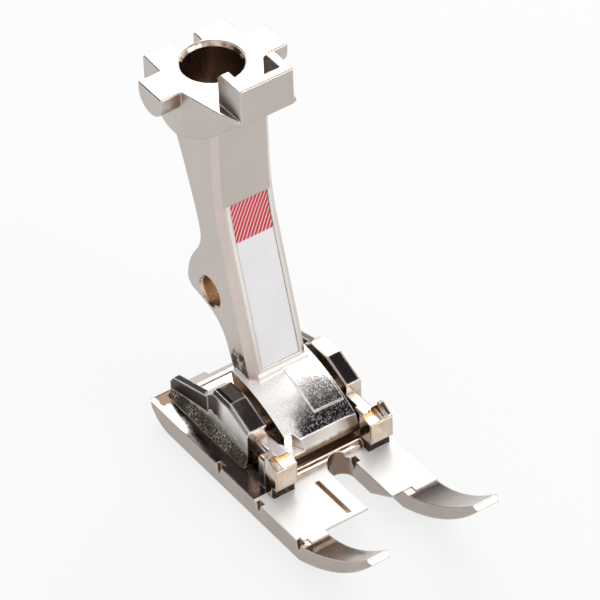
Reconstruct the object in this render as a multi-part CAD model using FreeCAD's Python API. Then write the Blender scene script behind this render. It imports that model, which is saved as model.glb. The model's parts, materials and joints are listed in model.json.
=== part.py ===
# A hinged presser foot for a sewing machine, all lengths in mm.
# Origin: where the needle axis meets the underside of the sole.
# +X is the operator's right, +Y the back of the machine, +Z up the needle.
import FreeCAD, Part
import math
import os

os.makedirs("parts", exist_ok=True)
V = FreeCAD.Vector

# sole
SOLE_L, SOLE_R = -8.95, 5.95       # side edges
BASE_T = 2.15                      # thickness of the flats
FLAT_F = -6.15                     # front edge of the flats
REAR_TAN, REAR_R = 14.75, 3.5      # heel curve: where it starts and its radius
NEEDLE_W = 2.66                    # needle gap
NEEDLE_Y = -0.2                    # centre of its round end
TOE_L = (-8.95, -6.05, -6.68)      # left toe: left edge, right edge at root and at tip
TOE_R = (2.6, 5.95, 5.25)          # right toe
UNDERCUT_Y = -2.75                 # where the flats start to thin towards their front edge
NOTCH_PITCH, NOTCH_Y = 6.35, 0.3   # quarter inch marks, and the middle one
CHANNEL = (-4.5, 4.2, 3.2, 14.0)   # well for the knuckle
CHANNEL_Z = 1.1
LUG_L = (-6.75, -4.53)
LUG_R = (4.28, SOLE_R)
BLOCK_L = (-7.5, -5.1)             # outer and inner face of the left front block
BLOCK_R = (5.5, 3.0)
BLOCK_F, BLOCK_B = -0.7, 1.1       # front and back of both blocks
BLOCK_TOP, BLOCK_LIP = 5.72, 3.4
WALL_TOP = 6.5                     # highest point of a block's outer wall
COVE_R = 1.1                       # scoop between a block's top and its wall
FOOT_F = -0.1                      # front of the narrower foot under a block
SADDLE_TOP, SADDLE_T = 4.9, 1.5    # bar from block to lug: its top and thickness
SADDLE_ROUND = 0.4                 # and its rounded edges
RIDGE = (0.7, 1.9, 2.9)            # low bar behind the needle: front, back and top
HEEL_ROUND = 0.7                   # plan radius of the sole's rear corners

# hinge
PIN_Y, PIN_Z, PIN_R = 7.0, 4.3, 0.85
PIN_X = (-6.2, 5.9)
PIN_CLEAR = 0.03                   # radial, knuckle on pin

# shank
ARM_X = (-3.28, 3.02)
ARM_CH = 0.6                       # chamfer of the front corners
ARM_TOP_Y = 13.5                   # front face, upright part
ARM_FOOT = (8.9, 7.15)             # front face, lower end
LEAN = 0.265                       # lean of the lower part, mm per mm
BEND_T = 3.5                       # tangent length of the bend between them
KNUCKLE_X = (-3.83, 3.57)
CROWN_R = 38.0                     # crown across the knuckle
CROWN_LONG_R = 16.68               # crown along the knuckle
CROWN_PEAK = (11.8, 7.71)          # highest point of that curve, Y and Z
HEAD_Z = 37.65
BORE_Y, BORE_R, MOUTH_R = 18.1, 2.75, 3.1
BORE_DEEP = 4.15
BORE_FLOOR = HEAD_Z - BORE_DEEP
EAR_NOTCH = (-1.25, 1.02)          # gap between the two rear ears
EAR_X = 6.85                       # reach of the side ears
HEAD_ROUND = 0.2                   # rounding of the head's outer edges
HEAD_BACK = 22.6
HOOK_RISE = 3.4                    # from the head's top to the hook's top
HOOK_X = 2.85
HOOK_WALL = 0.85
HOOK_Y = (9.3, 13.1)
GUIDE_Y, GUIDE_Z, GUIDE_R = 15.45, 14.1, 1.45

# label
LABEL_X = (-1.9, 2.1)
LABEL_Z = (8.35, 24.9)
LABEL_DEEP, LABEL_T = 0.2, 0.1


def box(x0, x1, y0, y1, z0, z1):
    return Part.makeBox(x1 - x0, y1 - y0, z1 - z0, V(x0, y0, z0))


def rod(axis, a, b, r, s, e):
    """Round bar along an axis; a and b are the other two coordinates in order."""
    p, d = {"x": (V(s, a, b), V(1, 0, 0)), "y": (V(a, s, b), V(0, 1, 0)),
            "z": (V(a, b, s), V(0, 0, 1))}[axis]
    return Part.makeCylinder(r, e - s, p, d)


def outline(place, steps):
    """Closed wire. A step is a point, ("a", middle, end) or ("s", [points])."""
    edges, here = [], steps[0]
    for step in steps[1:] + [steps[0]]:
        if step[0] == "a":
            edges.append(Part.Arc(place(here), place(step[1]), place(step[2])).toShape())
            here = step[2]
        elif step[0] == "s":
            curve = Part.BSplineCurve()
            curve.interpolate([place(here)] + [place(p) for p in step[1]])
            edges.append(curve.toShape())
            here = step[1][-1]
        elif (place(step) - place(here)).Length > 1e-6:
            edges.append(Part.makeLine(place(here), place(step)))
            here = step
    return Part.Wire(edges)


def side(steps, x0, x1):
    """Side outline in Y and Z, carried across from x0 to x1."""
    wire = outline(lambda p: V(x0, p[0], p[1]), steps)
    return Part.Face(wire).extrude(V(x1 - x0, 0, 0))


def plan(steps, z0, z1):
    """Plan outline in X and Y, carried up from z0 to z1."""
    wire = outline(lambda p: V(p[0], p[1], z0), steps)
    return Part.Face(wire).extrude(V(0, 0, z1 - z0))


def picked(shape, test):
    """Edges whose every sampled point passes the test."""
    out = []
    for e in shape.Edges:
        a, b = e.ParameterRange
        pts = [e.valueAt(a + (b - a) * k / 4.0) for k in range(5)]
        if all(test(p) for p in pts):
            out.append(e)
    return out


def near(a, b, t=1e-3):
    return abs(a - b) < t


def toe(x0, root, tip):
    """Upturned runner; its right edge draws in between root and tip."""
    body = side([(-5.4, 0.0), (-6.04, 0.0), ("a", (-12.59, 3.36), (-17.25, 7.6)),
                 (-17.33, 7.72), (-16.92, 8.13), (-16.78, 8.13),
                 ("a", (-12.0, 4.52), (-6.9, 2.02)), (-5.4, 2.02)], x0, max(root, tip))
    k, far = 0.45 * (1 - math.sqrt(0.5)), -17.33
    shape = plan([(x0, -5.0), (x0, far + 0.45), ("a", (x0 + k, far + k), (x0 + 0.45, far)),
                  (tip - 0.45, far), ("a", (tip - k, far + k), (tip, far + 0.45)),
                  ("a", (tip + 0.25 * (root - tip), -10.5), (root, -6.8)), (root, -5.0)], -1, 10)
    return body.common(shape)


def notch(x, y, inward):
    """V cut in the top of an edge, wide at the top and ending in a point."""
    tri = outline(lambda p: V(x - 0.02 * inward, p[0], p[1]),
                  [(y - 0.45, BASE_T + 0.02), (y, BASE_T - 1.15), (y + 0.45, BASE_T + 0.02)])
    return Part.Face(tri).extrude(V(0.5 * inward, 0, 0))


def lug(x0, x1):
    return side([(5.0, 1.0), (5.0, 5.9), (8.1, 7.3), (10.6, 7.3), (11.5, 6.6),
                 (13.2, 4.7), ("a", (13.95, 3.1), (15.2, BASE_T)), (15.2, 1.0)], x0, x1)


def block(outer, inner, wall):
    """Front block: set-back foot, body with a sloped top, taller wall on its outer side."""
    x0, x1 = min(outer, inner), max(outer, inner)
    inward = math.copysign(1.0, inner - outer)
    w0, w1 = sorted((outer, outer + inward * wall))
    foot = box(x0 + 0.1, x1 - 0.08, FOOT_F, BLOCK_B, BASE_T - 0.5, BLOCK_LIP + 0.3)
    body = side([(BLOCK_F, BLOCK_LIP), (BLOCK_F, BLOCK_TOP), (BLOCK_B - 0.25, BLOCK_TOP + 0.23),
                 (BLOCK_B, BLOCK_TOP), (BLOCK_B, BLOCK_LIP)], x0, x1)
    body = body.makeFillet(0.18, picked(body, lambda p: near(p.y, BLOCK_F)))
    wall_in, cove_r = outer + inward * (wall - 0.02), COVE_R
    cove = side([(BLOCK_F + 0.1, BLOCK_TOP - 0.3), (BLOCK_F + 0.1, BLOCK_TOP + 0.3),
                 (BLOCK_B - 0.3, WALL_TOP - 0.1), (BLOCK_B, WALL_TOP - 0.4),
                 (BLOCK_B, BLOCK_TOP - 0.3)], *sorted((wall_in, wall_in + inward * cove_r)))
    start = V(wall_in + inward * cove_r, BLOCK_F, BLOCK_TOP + cove_r)
    along = V(0, BLOCK_B - 0.25 - BLOCK_F, 0.23)
    cove = cove.cut(Part.makeCylinder(cove_r, 6, start - along * 1.0, along))
    body = body.fuse(cove)
    outer_wall = side([(BLOCK_F + 0.12, BLOCK_LIP + 0.1), (BLOCK_F + 0.12, BLOCK_TOP - 0.1),
                       (BLOCK_B - 0.3, WALL_TOP), (BLOCK_B, WALL_TOP - 0.12),
                       (BLOCK_B + 0.1, WALL_TOP - 0.6), (BLOCK_B + 0.1, BASE_T - 0.5),
                       (0.2, BASE_T - 0.5), (0.05, BLOCK_LIP + 0.1)], w0, w1)
    return foot.fuse([body, outer_wall])


def saddle(x0, x1, y0, y1, under):
    """Bar with rounded edges, on a narrower web, that joins a block to its lug."""
    bar = box(x0, x1, y0, y1, SADDLE_TOP - SADDLE_T, SADDLE_TOP)
    bar = bar.makeFillet(SADDLE_ROUND, picked(bar, lambda p: near(p.x, x0) or near(p.x, x1)))
    return bar.fuse(box(*under, y0, y1, BASE_T - 0.5, SADDLE_TOP - 0.5 * SADDLE_T))


# the sole
base = side([(FLAT_F, 0.0), (REAR_TAN, 0.0),
             ("a", (REAR_TAN + REAR_R * math.sin(math.radians(35)),
                    REAR_R - REAR_R * math.cos(math.radians(35))),
              (REAR_TAN + math.sqrt(REAR_R ** 2 - (REAR_R - BASE_T) ** 2), BASE_T)),
             (FLAT_F, BASE_T)], SOLE_L, SOLE_R)
heel_y, heel_k = REAR_TAN + REAR_R, HEEL_ROUND * (1 - math.sqrt(0.5))
base = base.common(plan([
    (SOLE_L, -9.0), (SOLE_L, heel_y - HEEL_ROUND),
    ("a", (SOLE_L + heel_k, heel_y - heel_k), (SOLE_L + HEEL_ROUND, heel_y)),
    (SOLE_R - HEEL_ROUND, heel_y), ("a", (SOLE_R - heel_k, heel_y - heel_k),
                                    (SOLE_R, heel_y - HEEL_ROUND)), (SOLE_R, -9.0)], -1, 5))
base = base.cut(side([(UNDERCUT_Y, -0.01), (FLAT_F - 0.1, 2.0), (-7.0, 2.0), (-7.0, -1.0),
                      (UNDERCUT_Y, -1.0)], TOE_L[1], TOE_R[0]))
roots = [box(TOE_L[1] - 1.95, TOE_L[1], FLAT_F - 0.65, FLAT_F + 0.2, 0.8, BASE_T),
         box(SOLE_R - 2.45, SOLE_R, FLAT_F - 0.65, FLAT_F + 0.2, 0.8, BASE_T)]
tail = box(-4.6, -2.4, heel_y - 1.25, heel_y + 0.25, 1.45, BASE_T)

flare_wires = []
for fy, ftop, fx in ((17.4, 3.1, -7.3), (10.8, 5.5, -7.4), (5.0, 3.75, -7.25)):
    flare_wires.append(outline(lambda p, fy=fy: V(p[0], fy, p[1]),
                               [(-6.3, BASE_T - 0.3), (-6.3, ftop), (-6.75, ftop),
                                ("a", (-6.93, 2.15 + 0.42 * (ftop - 2.15)), (fx, BASE_T)),
                                (fx, BASE_T - 0.3)]))
flare = Part.makeLoft(flare_wires, True, True)

rib = [(17.6, 1.9), (17.6, 3.6), (17.05, 4.36), (11.35, 6.1), (11.35, 1.9)]
left_lug = lug(*LUG_L)
left_lug = left_lug.makeFillet(0.18, picked(left_lug, lambda p: near(p.x, LUG_L[1]) and p.z > 4.6
                                            and p.y > 5.0 - 1e-3))
right_lug = lug(*LUG_R)
right_lug = right_lug.makeFillet(0.15, picked(right_lug, lambda p: p.z > 4.6 and (
    near(p.x, LUG_R[0]) or near(p.x, LUG_R[1]))))
left_lug = left_lug.makeChamfer(0.34, picked(left_lug, lambda p: near(p.x, LUG_L[0])
                                             and p.z > 4.6 and p.y > 5.0 - 1e-3
                                             and not (near(p.y, 5.0) and p.z < 5.8)))
rf, rb, rt = RIDGE
ridge = side([(rf, BASE_T - 0.3), (rf, BASE_T + 0.1), ("a", (rf + 0.18, rt - 0.2), (rf + 0.6, rt)),
              ("a", (rb - 0.16, rt - 0.18), (rb, BASE_T + 0.15)), (rb, BASE_T - 0.3)],
             BLOCK_L[1] - 0.3, BLOCK_R[1] + 0.3)
tab = box(BLOCK_L[0] + 0.25, -5.9, BLOCK_B + 0.5, BLOCK_B + 1.45, BASE_T - 0.5, 5.45)
tab = tab.makeFillet(0.4, picked(tab, lambda p: near(p.z, 5.45) and near(p.x, BLOCK_L[0] + 0.25)))

sole = base.fuse([toe(*TOE_L), toe(*TOE_R), tail, flare, left_lug, right_lug, ridge,
                  side(rib, -6.8, -6.05), side(rib, SOLE_R - 0.65, SOLE_R),
                  saddle(-5.95, CHANNEL[0] + 0.4, BLOCK_B - 0.2, 5.1, (-5.35, CHANNEL[0])), tab,
                  saddle(CHANNEL[1] - 0.4, 5.4, BLOCK_B - 0.2, 5.1, (CHANNEL[1], 4.9)),
                  block(*BLOCK_L, 0.3), block(*BLOCK_R, 0.5)] + roots)
cuts = [box(-NEEDLE_W / 2, NEEDLE_W / 2, -8.0, NEEDLE_Y, -1, 6),
        rod("z", 0, NEEDLE_Y, NEEDLE_W / 2, -1, 6),
        box(-3.22, -2.78, -5.58, -0.47, -1, 4),
        box(*CHANNEL, CHANNEL_Z, 9),
        box(-5.95, SOLE_R - 0.7, 16.55, 16.72, BASE_T - 0.12, 3.0),
        side([(17.2, BASE_T + 0.01), (17.2, BASE_T - 0.1), (18.6, BASE_T - 0.45),
              (18.6, BASE_T + 0.01)], -6.0, 5.25),
        rod("x", PIN_Y, PIN_Z, PIN_R, PIN_X[0], 7.0)]
for k in (-1, 0, 1):
    cuts.append(notch(SOLE_L, NOTCH_Y + k * NOTCH_PITCH, 1))
cuts.append(notch(NEEDLE_W / 2, -0.1, 1))
sole = sole.cut(cuts).removeSplitter()

# the hinge pin, in a blind hole from the right
pin = rod("x", PIN_Y, PIN_Z, PIN_R, PIN_X[0], PIN_X[1])
pin = pin.makeFillet(0.25, picked(pin, lambda p: near(p.x, PIN_X[1])))

# the shank: arm
theta = math.atan(LEAN)
corner_z = ARM_FOOT[1] + (ARM_TOP_Y - ARM_FOOT[0]) / LEAN
BEND_R = BEND_T / math.tan(theta / 2)
BEND_C = (ARM_TOP_Y - BEND_R, corner_z + BEND_T)


def front(a, off):
    """Point of the front face's bend at angle a, pushed inwards by off."""
    return (BEND_C[0] + (BEND_R + off) * math.cos(a), BEND_C[1] - (BEND_R + off) * math.sin(a))


def low(z, off):
    """Point of the leaning part at height z, pushed inwards by off."""
    return (ARM_FOOT[0] + LEAN * (z - ARM_FOOT[1]) + off / math.cos(theta), z)


REAR = (0.25, -0.27)
LOBE_Z = 15.0                      # above this the rear edge stretches with the head's height
STRETCH = (HEAD_Z - LOBE_Z) / (37.65 - LOBE_Z)


def back(*pts):
    """Points of the rear edge."""
    return [(y + REAR[0], LOBE_Z + (z + REAR[1] - LOBE_Z) * STRETCH if z > LOBE_Z
             else z + REAR[1]) for y, z in pts]


arm_top = HEAD_Z - 3.05
arm = side([(ARM_TOP_Y, arm_top), front(0, 0), ("a", front(theta / 2, 0), front(theta, 0)),
            low(6.2, 0), (11.3, 6.2)] + back((11.7, 7.29)) +
           [("s", back((12.3, 8.67), (12.85, 10.17), (13.8, 11.5), (15.05, 12.32),
                       (16.5, 12.76), (17.9, 13.05))),
            ("a", *back((18.5, 13.4), (18.75, 14.1))),
            ("s", back((18.6, 15.1), (17.65, 17.37), (16.6, 19.0), (16.22, 20.2), (16.35, 21.6),
                       (16.9, 23.6), (17.6, 25.7), (18.45, 28.1), (19.3, 30.3), (20.1, 32.4))),
            (20.35, arm_top)], *ARM_X)
fronts = picked(arm, lambda p: (near(p.x, ARM_X[0]) or near(p.x, ARM_X[1])) and p.z > 6.0 and
                p.y < ARM_TOP_Y + 1e-3 and p.y - low(p.z, 0)[0] < 0.6)
arm = arm.makeChamfer(ARM_CH, [e for e in fronts if e.Length > 1.0])

# knuckle
crown_axis = CROWN_PEAK[1] - CROWN_R


def crowned(over):
    """Barrel whose top is the knuckle's crown, raised by a little or by nothing."""
    r, (peak_y, peak_z) = CROWN_LONG_R + over, CROWN_PEAK

    def at(y):
        return (y, peak_z - CROWN_LONG_R + math.sqrt(r * r - (y - peak_y) ** 2))

    wire = outline(lambda p: V(0, p[0], p[1]),
                   [(1.0, crown_axis), at(1.0), ("a", at(7.0), at(12.5)), (12.5, crown_axis)])
    return Part.Face(wire).revolve(V(0, 0, crown_axis), V(0, 1, 0), 360)


heel = [(10.4, 2.55), (11.0, 4.5), (11.7, 7.29), (11.2, 8.6)]
blank = [(1.93, 3.42), (2.0, 3.12), (4.2, 2.6), (6.0, 2.35), (8.5, 2.3)] + heel + \
        [(8.0, 8.6), (3.2, 6.6), (2.6, 4.9), (2.24, 3.95)]
knuckle = side(blank, *KNUCKLE_X)
facet = side([(1.0, 3.75), (2.64, 4.92), (3.71, 5.68), (6.5, 7.65), (1.0, 7.65)], -4, 4)
knuckle = knuckle.common(crowned(0.0)).cut(facet)
pad = side([(4.0, 4.5), (11.0, 4.5), (11.0, 9.5), (4.0, 9.5)], 0.0, KNUCKLE_X[1] - 0.3)
pad = pad.common(crowned(0.13))
wedge = plan([(-2.35, 1.0), (-2.35, 2.1), (-3.0, 3.35), (-4.2, 3.35), (-4.2, 1.0)], 3.75, 7.0)
knuckle = knuckle.cut(wedge).fuse(pad)

# head: plate with four ears, bored from above
half = [(4.4, HEAD_BACK), (4.5, 19.85), (4.72, 16.1), (3.73, 11.4), (3.1, 9.5)]
plate = plan(half + [(-x, y) for x, y in reversed(half)], HEAD_Z - 7, HEAD_Z)


def below(*pts):
    """Points given by Y and by their depth under the head's top."""
    return [(y, HEAD_Z - deep) for y, deep in pts]


under = side(below((9.0, 0.4), (9.3, 0.4)) +
             [("s", below((11.0, 1.75), (13.3, 3.75), (15.2, 4.75), (17.6, 5.6), (19.7, 5.35)))] +
             below((21.2, 4.25), (HEAD_BACK, 3.35), (HEAD_BACK + 1, 3.35), (HEAD_BACK + 1, -0.5),
                   (9.0, -0.5)), -7, 7)
plate = plate.common(under)
ears = side([(16.1, HEAD_Z)] + below((16.1, 0.75)) +
            [("a", *below((17.975, 2.65), (19.85, 0.75))), (19.85, HEAD_Z)], -EAR_X, EAR_X)
head = plate.fuse(ears).removeSplitter().cut(
    box(*EAR_NOTCH, BORE_Y + MOUTH_R + 0.15, HEAD_BACK + 1, HEAD_Z - 8, HEAD_Z + 1)).Solids[0]
head = head.makeFillet(HEAD_ROUND, picked(head, lambda p: near(p.z, HEAD_Z) or
                                          near(abs(p.x), EAR_X)))
# foot plate under the label frame
plinth = side([low(7.95, 0.1), low(7.95, -0.12), low(6.7, -0.3), low(6.7, 0.6)],
              ARM_X[0] + ARM_CH, ARM_X[1] - 0.1)

hook_z, hook_in = HEAD_Z + HOOK_RISE, HOOK_X - HOOK_WALL
hook = box(-HOOK_X, HOOK_X, *HOOK_Y, HEAD_Z - 1.05, hook_z).cut(
    box(-hook_in, hook_in, HOOK_Y[0] + 0.9, HOOK_Y[1] + 0.9, HEAD_Z, hook_z + 1))
hook = hook.makeFillet(0.4 * HOOK_WALL, picked(hook, lambda p: near(p.y, HOOK_Y[1]) and (
    near(abs(p.x), HOOK_X) or near(abs(p.x), hook_in))))
hook = hook.makeFillet(HEAD_ROUND, picked(hook, lambda p: near(p.y, HOOK_Y[0]) and (
    near(p.z, hook_z) or near(abs(p.x), HOOK_X))))
hook = hook.cut(side([(HOOK_Y[1] - 0.8, hook_z + 0.1), (HOOK_Y[1] + 0.1, hook_z + 0.1),
                      (HOOK_Y[1] + 0.1, hook_z - 1.0)], -3, 3))
hook = hook.cut(side([(HOOK_Y[0] - 0.1, HEAD_Z - 0.4), (HOOK_Y[0] - 0.1, HEAD_Z - 1.65),
                      (HOOK_Y[0] + 1.7, HEAD_Z - 1.65)], -3, 3))

shank = arm.fuse([knuckle, head, hook, plinth])
shank = shank.cut([
    rod("z", 0, BORE_Y, BORE_R, BORE_FLOOR, HEAD_Z + 1),
    rod("z", 0, BORE_Y, MOUTH_R, HEAD_Z - 0.1, HEAD_Z + 1),
    Part.makeCone(BORE_R, MOUTH_R - 0.1, 0.35, V(0, BORE_Y, HEAD_Z - 0.45), V(0, 0, 1)),
    box(-hook_in, hook_in, HOOK_Y[0] + 0.9, HOOK_Y[0] + 2.5, HEAD_Z - 0.8, HEAD_Z + 0.01),
    rod("x", PIN_Y, PIN_Z, PIN_R + PIN_CLEAR, -5, 5),
    rod("x", GUIDE_Y, GUIDE_Z, GUIDE_R, -5, 5),
    Part.makeCone(GUIDE_R + 0.25, GUIDE_R, 0.25, V(ARM_X[0], GUIDE_Y, GUIDE_Z), V(1, 0, 0)),
    Part.makeCone(GUIDE_R, GUIDE_R + 0.25, 0.25, V(ARM_X[1] - 0.25, GUIDE_Y, GUIDE_Z), V(1, 0, 0)),
])


def strip(o0, o1, z0, z1, x0, x1):
    """Slab that follows the front face, between two depths and two heights."""
    ztop = z1
    a_top = math.asin((BEND_C[1] - ztop) / (BEND_R + o0)) if ztop < BEND_C[1] else 0.0
    a_in = math.asin((BEND_C[1] - ztop) / (BEND_R + o1)) if ztop < BEND_C[1] else 0.0
    return side([front(a_top, o0), ("a", front((a_top + theta) / 2, o0), front(theta, o0)),
                 low(z0, o0), low(z0, o1), front(theta, o1),
                 ("a", front((a_in + theta) / 2, o1), front(a_in, o1))], x0, x1)


gap = 0.06
shank = shank.cut(strip(-0.5, LABEL_DEEP, LABEL_Z[0] - gap, LABEL_Z[1] + gap,
                        LABEL_X[0] - gap, LABEL_X[1] + gap)).removeSplitter()
label = strip(LABEL_DEEP - LABEL_T, LABEL_DEEP, LABEL_Z[0], LABEL_Z[1], *LABEL_X)

for name, shape in (("sole", sole), ("hinge_pin", pin), ("shank", shank), ("label", label)):
    solid = shape.Solids[0] if len(shape.Solids) == 1 else shape
    print(name, "solids", len(shape.Solids), "valid", shape.isValid(), "mm3 %.1f" % shape.Volume,
          shape.BoundBox)
    solid.exportStep("parts/" + name + ".step")
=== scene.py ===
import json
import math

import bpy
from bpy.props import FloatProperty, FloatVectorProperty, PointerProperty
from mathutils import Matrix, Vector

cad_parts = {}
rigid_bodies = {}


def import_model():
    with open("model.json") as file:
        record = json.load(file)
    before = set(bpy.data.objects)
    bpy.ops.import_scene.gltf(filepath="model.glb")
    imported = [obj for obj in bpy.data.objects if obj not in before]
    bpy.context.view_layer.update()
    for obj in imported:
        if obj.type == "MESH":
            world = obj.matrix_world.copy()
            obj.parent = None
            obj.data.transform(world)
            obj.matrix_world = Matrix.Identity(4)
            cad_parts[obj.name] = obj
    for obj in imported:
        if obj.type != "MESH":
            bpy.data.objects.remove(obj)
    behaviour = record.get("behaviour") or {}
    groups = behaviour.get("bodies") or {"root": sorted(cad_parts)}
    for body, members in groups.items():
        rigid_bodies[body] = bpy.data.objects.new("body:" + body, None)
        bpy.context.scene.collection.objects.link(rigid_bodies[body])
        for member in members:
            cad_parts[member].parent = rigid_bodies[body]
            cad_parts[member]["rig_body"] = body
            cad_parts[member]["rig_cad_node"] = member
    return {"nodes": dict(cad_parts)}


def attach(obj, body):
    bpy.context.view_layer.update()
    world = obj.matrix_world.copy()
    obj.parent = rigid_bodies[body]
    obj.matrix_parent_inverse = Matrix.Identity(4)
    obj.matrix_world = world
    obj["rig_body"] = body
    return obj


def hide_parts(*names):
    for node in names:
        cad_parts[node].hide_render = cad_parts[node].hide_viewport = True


bl_info = {
    "name": "Sewing machine presser foot",
    "version": (1, 0, 0),
    "blender": (4, 5, 0),
    "location": "3D Viewport > Sidebar > Presser Foot",
    "description": "Finishes a plated, hinged presser foot and lights it on a pale table",
    "category": "Object",
}

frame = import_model()

MM = 0.001

# Places as the part's own source has them, in mm.
LABEL_HIGH = 24.9                     # upper end of the label
BORE_Y, HEAD_TOP = 18.1, 37.65        # axis of the socket, top of the head's plate
GUIDE_Y, GUIDE_Z, GUIDE_R = 15.45, 14.1, 1.45   # cross hole in the shank's lobe
PLATE_TOP, SLIT_FLOOR = 2.15, 1.1     # top of the sole's plate, floor of the slit
LEDGE_X = -6.0                        # the ledge is left of this
TOE_Y = -6.2                          # the toes are in front of this
REAR_Y = 1.0                          # the flats are in front of this

# A range of coordinates in mm that ends before the foot begins: a mask that is full all over it.
ALL_OVER = (-30.0, -29.0)

WHITE = (1.0, 1.0, 1.0)
# Dark specks, and pale flecks that are painted glints.
SPECK_COLOUR, FLECK_COLOUR = (0.05, 0.04, 0.035), (0.82, 0.79, 0.77)
SKIN_SHEEN = (0.62, 0.575, 0.56)     # painted sheen on the cast skin where it faces up
RIM_ROUGHNESS = 0.5                   # painted highlight rims, on edges with a colour of their own

MIDDLE = Vector((0.0, 0.003, 0.015))  # what the lamps and the cards face


def tint(name, what, default):
    """A colour in the panel."""
    return FloatVectorProperty(name=name, description=what, subtype="COLOR", size=3,
                               min=0.0, max=1.0, default=default)


def length(name, what, default, top=0.01):
    """A length in the panel, in metres."""
    return FloatProperty(name=name, description=what, subtype="DISTANCE", unit="LENGTH",
                         min=0.0, max=top, default=default, precision=5)


def share(name, what, default, top=1.0):
    """A plain amount in the panel."""
    return FloatProperty(name=name, description=what, subtype="FACTOR", min=0.0, max=top,
                         default=default)


class FootPlating(bpy.types.PropertyGroup):
    """Colours and sizes of the plated metal."""

    satin: tint("Satin plate", "Faces of the shank and the head", (0.55, 0.495, 0.455))
    bright: tint("Bright plate", "Polished flats, tops and facets", (0.60, 0.555, 0.515))
    # The flank is the plate darkened as painted shade on the sole's sides.
    flank: tint("Flank", "Side edges of the sole", (0.42, 0.365, 0.325))
    chamfer: tint("Chamfer", "Bands along the shank's front corners", (0.66, 0.575, 0.53))
    # The casting's dark and light grain is partly texture and partly painted shade and painted
    # glints.
    skin_dark: tint("Casting, dark", "Hollows of the as-cast skin", (0.045, 0.034, 0.030))
    skin_light: tint("Casting, light", "Crests of the as-cast skin", (1.0, 0.90, 0.70))
    # Bronze: partly the plating's stain, partly painted shade in slots, gaps and hollows.
    bronze: tint("Bronze", "Stain in slots, gaps and hollows", (0.30, 0.165, 0.075))
    bore: tint("Bore", "Wall of the socket", (0.23, 0.165, 0.125))
    edge: length("Edge radius", "Rounding that the plating leaves on every edge", 0.00022)
    grain: length("Grain", "Size of the satin plate's grain", 0.00022)
    satin_roughness: share("Satin roughness", "Roughness of the shank's faces", 0.34)
    bright_roughness: share("Bright roughness", "Roughness of the polished faces", 0.06)


class FootLabel(bpy.types.PropertyGroup):
    """Colours and sizes of the printed strip."""

    film: tint("Film", "Ground colour of the strip", (0.93, 0.915, 0.935))
    field: tint("Field", "Coloured field at its upper end", (0.62, 0.030, 0.055))
    line: tint("Line", "Fine slanted lines in the field", (0.90, 0.62, 0.60))
    field_height: length("Field height", "Height of the coloured field", 0.0039)
    pitch: length("Line pitch", "From one slanted line to the next", 0.00036)
    slant: FloatProperty(name="Slant", description="Angle of the lines above the horizontal",
                         subtype="ANGLE", unit="ROTATION", min=0.0, max=math.pi / 2,
                         default=math.radians(58.0))


class FootStudio(bpy.types.PropertyGroup):
    """Light, table and surroundings."""

    table: tint("Table", "Colour of the table", (0.86, 0.86, 0.86))
    back_lamp: share("Back lamp", "Brightness of the large lamp behind, on the right", 2.4, 10.0)
    key_lamp: share("Key lamp", "Brightness of the lamp in front, on the right", 2.6, 10.0)
    room: share("Room light", "Brightness of the room around", 0.60, 2.0)
    card: tint("Dark cards", "Colour of the cards that darken the plating", (0.085, 0.075, 0.072))
    horizon: tint("Grey card", "Colour of the card low behind the foot", (0.36, 0.34, 0.33))
    distance: length("Lamp distance", "From the foot to each lamp", 0.42, 2.0)


def put(tree, kind, inputs=None, **settings):
    """Adds a node; an input is a socket to link or a value to set."""
    made = tree.nodes.new(kind)
    for key, value in settings.items():
        setattr(made, key, value)
    for key, value in (inputs or {}).items():
        socket = made.inputs[key]
        if isinstance(value, bpy.types.NodeSocket):
            tree.links.new(value, socket)
        elif socket.type == "RGBA":
            socket.default_value = (*value, 1.0)
        else:
            socket.default_value = value
    return made


def maths(tree, operation, a, b=0.0, clamp=False):
    """One sum, product or other step on values."""
    return put(tree, "ShaderNodeMath", {0: a, 1: b}, operation=operation,
               use_clamp=clamp).outputs[0]


def blend(tree, factor, a, b):
    """A value between two values."""
    return put(tree, "ShaderNodeMix", {0: factor, 2: a, 3: b}, data_type="FLOAT").outputs[0]


def ramp(tree, value, low, high, to_low=0.0, to_high=1.0):
    """A value between two limits, turned into another range with a soft step."""
    return put(tree, "ShaderNodeMapRange",
               {0: value, 1: low, 2: high, 3: to_low, 4: to_high},
               interpolation_type="SMOOTHSTEP").outputs[0]


def blend_colour(tree, factor, a, b):
    """A colour between two colours."""
    return put(tree, "ShaderNodeMix", {0: factor, 6: a, 7: b}, data_type="RGBA").outputs[2]


def effect(name, inputs, outputs):
    """Starts a shader node group with named sockets; returns the tree, its inputs and its end."""
    tree = bpy.data.node_groups.new(name, "ShaderNodeTree")
    kinds = {"c": "NodeSocketColor", "f": "NodeSocketFloat", "v": "NodeSocketVector"}
    for label, (kind, value) in inputs.items():
        made = tree.interface.new_socket(label, in_out="INPUT", socket_type=kinds[kind])
        made.default_value = (*value, 1.0) if kind == "c" else value
    for label, kind in outputs.items():
        tree.interface.new_socket(label, in_out="OUTPUT", socket_type=kinds[kind])
    return tree, tree.nodes.new("NodeGroupInput"), tree.nodes.new("NodeGroupOutput")


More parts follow.
